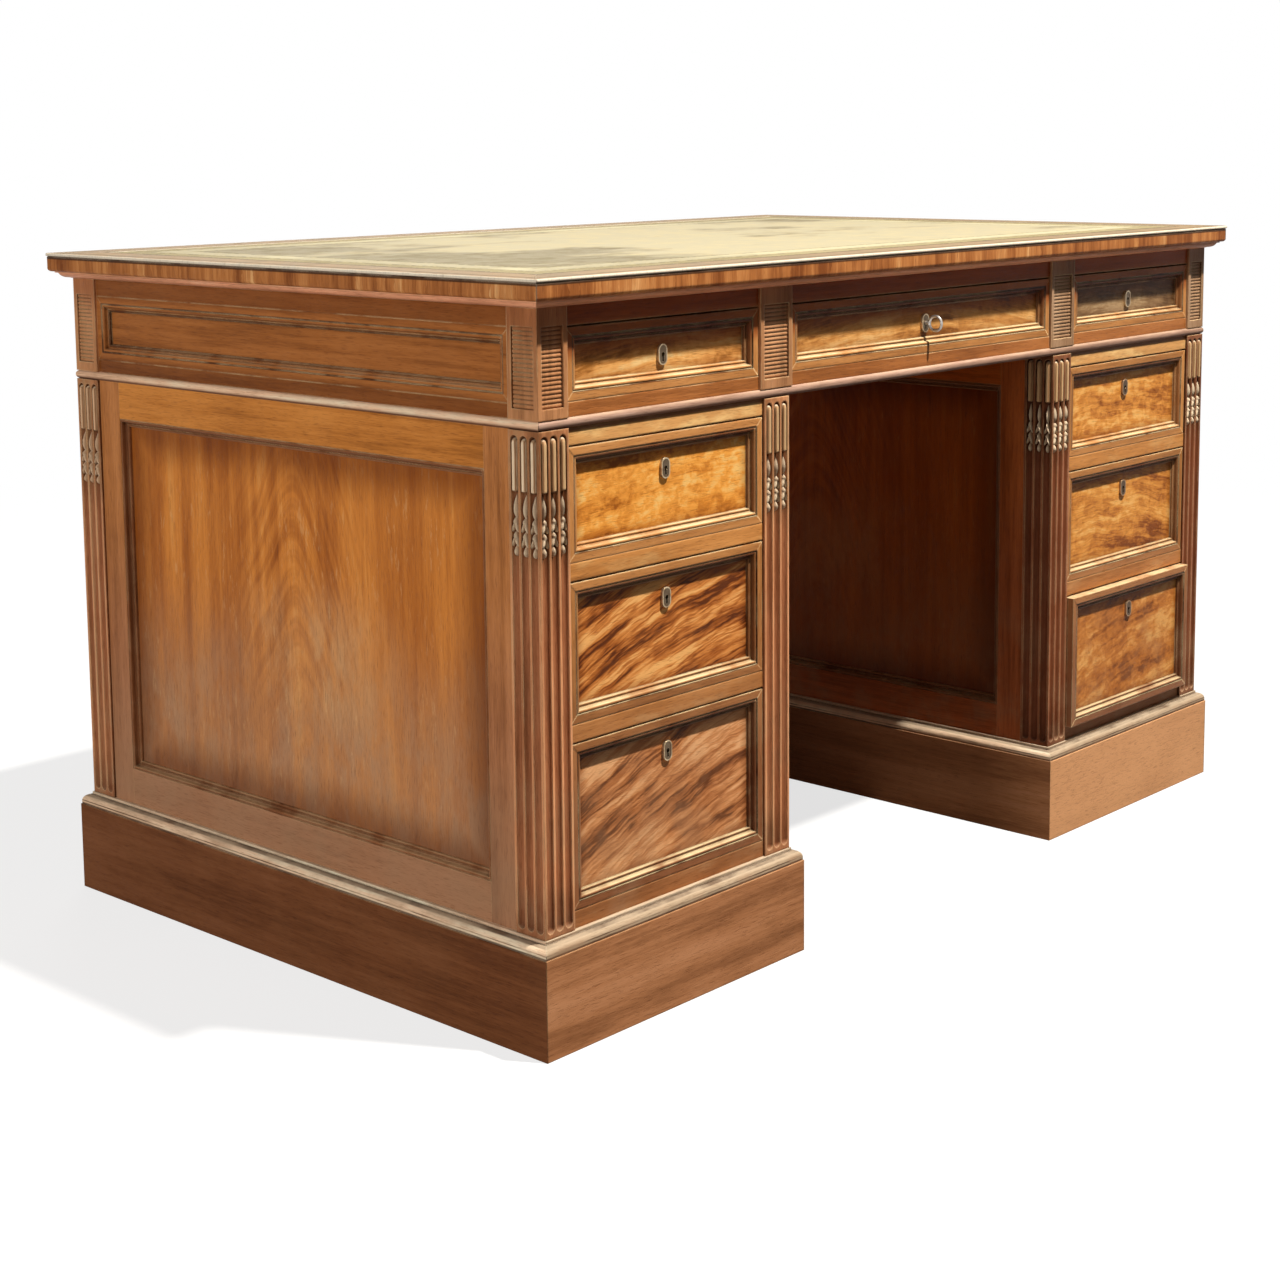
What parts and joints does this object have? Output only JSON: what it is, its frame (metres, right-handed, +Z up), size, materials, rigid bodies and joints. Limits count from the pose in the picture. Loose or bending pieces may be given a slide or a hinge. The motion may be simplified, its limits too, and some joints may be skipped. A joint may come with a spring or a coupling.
{
  "type": "pedestal desk",
  "caption": "Kneehole pedestal desk in figured mahogany with fluted pilasters, panelled sides, moulded lockable drawers that slide, and a leather-lined writing top.",
  "frame": {"origin": "on the floor under the middle of the desk", "axes": "+X along the front, to the right of someone sitting at it; front faces -Y; +Z up"},
  "size_m": [1.3552, 0.8232, 0.78],
  "materials": {
    "mahogany": "waxed, worn lighter on edges",
    "panel_veneer": "waxed veneer, upright grain",
    "drawer_veneer": "polished figured veneer",
    "banding": "polished cross-banding",
    "drawer_lining": "bare secondary wood",
    "leather": "worn, tooled border",
    "brass": "aged",
    "steel": "worn"
  },
  "bodies": {
    "carcass": {"left_plinth": "mahogany", "left_plinth_moulding": "mahogany", "left_pilasters": "mahogany", "left_frames": "mahogany", "left_panels": "panel_veneer", "left_panel_mouldings": "mahogany", "left_rails": "mahogany", "right_plinth": "mahogany", "right_plinth_moulding": "mahogany", "right_pilasters": "mahogany", "right_frames": "mahogany", "right_panels": "panel_veneer", "right_panel_mouldings": "mahogany", "right_rails": "mahogany", "frieze_bead": "mahogany", "frieze_blocks": "mahogany", "frieze_rails": "mahogany", "frieze_fields": "mahogany", "frieze_runners": "drawer_lining", "top_cove_moulding": "mahogany", "top_border": "banding", "top_panel": "mahogany", "writing_leather": "leather"},
    "left_top_drawer": {"left_top_drawer_front": "drawer_veneer", "left_top_drawer_box": "drawer_lining", "left_top_drawer_lock": "brass"},
    "left_top_bolt": {"left_top_drawer_bolt": "steel"},
    "left_middle_drawer": {"left_middle_drawer_front": "drawer_veneer", "left_middle_drawer_box": "drawer_lining", "left_middle_drawer_lock": "brass"},
    "left_middle_bolt": {"left_middle_drawer_bolt": "steel"},
    "left_bottom_drawer": {"left_bottom_drawer_front": "drawer_veneer", "left_bottom_drawer_box": "drawer_lining", "left_bottom_drawer_lock": "brass"},
    "left_bottom_bolt": {"left_bottom_drawer_bolt": "steel"},
    "right_top_drawer": {"right_top_drawer_front": "drawer_veneer", "right_top_drawer_box": "drawer_lining", "right_top_drawer_lock": "brass"},
    "right_top_bolt": {"right_top_drawer_bolt": "steel"},
    "right_middle_drawer": {"right_middle_drawer_front": "drawer_veneer", "right_middle_drawer_box": "drawer_lining", "right_middle_drawer_lock": "brass"},
    "right_middle_bolt": {"right_middle_drawer_bolt": "steel"},
    "right_bottom_drawer": {"right_bottom_drawer_front": "drawer_veneer", "right_bottom_drawer_box": "drawer_lining", "right_bottom_drawer_lock": "brass"},
    "right_bottom_bolt": {"right_bottom_drawer_bolt": "steel"},
    "frieze_left_drawer": {"frieze_left_drawer_front": "drawer_veneer", "frieze_left_drawer_box": "drawer_lining", "frieze_left_drawer_lock": "brass"},
    "frieze_left_bolt": {"frieze_left_drawer_bolt": "steel"},
    "frieze_centre_drawer": {"frieze_centre_drawer_front": "drawer_veneer", "frieze_centre_drawer_box": "drawer_lining", "frieze_centre_drawer_lock": "brass"},
    "frieze_centre_bolt": {"frieze_centre_drawer_bolt": "steel"},
    "frieze_right_drawer": {"frieze_right_drawer_front": "drawer_veneer", "frieze_right_drawer_box": "drawer_lining", "frieze_right_drawer_lock": "brass"},
    "frieze_right_bolt": {"frieze_right_drawer_bolt": "steel"},
    "key": {"desk_key": "steel"}
  },
  "joints": [
    {"name": "drawer_left_top", "type": "slide", "parent": "carcass", "child": "left_top_drawer", "axis": [0, -1, 0], "range_m": [0, 0.36]},
    {"name": "drawer_left_middle", "type": "slide", "parent": "carcass", "child": "left_middle_drawer", "axis": [0, -1, 0], "range_m": [0, 0.36]},
    {"name": "drawer_left_bottom", "type": "slide", "parent": "carcass", "child": "left_bottom_drawer", "axis": [0, -1, 0], "range_m": [0, 0.36]},
    {"name": "drawer_right_top", "type": "slide", "parent": "carcass", "child": "right_top_drawer", "axis": [0, -1, 0], "range_m": [0, 0.36]},
    {"name": "drawer_right_middle", "type": "slide", "parent": "carcass", "child": "right_middle_drawer", "axis": [0, -1, 0], "range_m": [0, 0.36]},
    {"name": "drawer_right_bottom", "type": "slide", "parent": "carcass", "child": "right_bottom_drawer", "axis": [0, -1, 0], "range_m": [-0.012, 0.348]},
    {"name": "drawer_frieze_left", "type": "slide", "parent": "carcass", "child": "frieze_left_drawer", "axis": [0, -1, 0], "range_m": [0, 0.36]},
    {"name": "drawer_frieze_centre", "type": "slide", "parent": "carcass", "child": "frieze_centre_drawer", "axis": [0, -1, 0], "range_m": [0, 0.36]},
    {"name": "drawer_frieze_right", "type": "slide", "parent": "carcass", "child": "frieze_right_drawer", "axis": [0, -1, 0], "range_m": [0, 0.36]},
    {"name": "lock_left_top", "type": "slide", "parent": "left_top_drawer", "child": "left_top_bolt", "axis": [0, 0, 1], "range_m": [0, 0.007]},
    {"name": "lock_left_middle", "type": "slide", "parent": "left_middle_drawer", "child": "left_middle_bolt", "axis": [0, 0, 1], "range_m": [0, 0.007]},
    {"name": "lock_left_bottom", "type": "slide", "parent": "left_bottom_drawer", "child": "left_bottom_bolt", "axis": [0, 0, 1], "range_m": [0, 0.007]},
    {"name": "lock_right_top", "type": "slide", "parent": "right_top_drawer", "child": "right_top_bolt", "axis": [0, 0, 1], "range_m": [0, 0.007]},
    {"name": "lock_right_middle", "type": "slide", "parent": "right_middle_drawer", "child": "right_middle_bolt", "axis": [0, 0, 1], "range_m": [0, 0.007]},
    {"name": "lock_right_bottom", "type": "slide", "parent": "right_bottom_drawer", "child": "right_bottom_bolt", "axis": [0, 0, 1], "range_m": [0, 0.007]},
    {"name": "lock_frieze_left", "type": "slide", "parent": "frieze_left_drawer", "child": "frieze_left_bolt", "axis": [0, 0, 1], "range_m": [0, 0.007]},
    {"name": "lock_frieze_centre", "type": "slide", "parent": "frieze_centre_drawer", "child": "frieze_centre_bolt", "axis": [0, 0, 1], "range_m": [0, 0.007]},
    {"name": "lock_frieze_right", "type": "slide", "parent": "frieze_right_drawer", "child": "frieze_right_bolt", "axis": [0, 0, 1], "range_m": [0, 0.007]},
    {"name": "key_turn", "type": "hinge", "parent": "frieze_centre_drawer", "child": "key", "pos_m": [0, -0.3785, 0.69], "axis": [0, -1, 0], "range_deg": [0, 90]}
  ],
  "couplings": [
    {"joint": "key_turn", "follows": "lock_frieze_centre", "rad_per_m": 224.4}
  ]
}
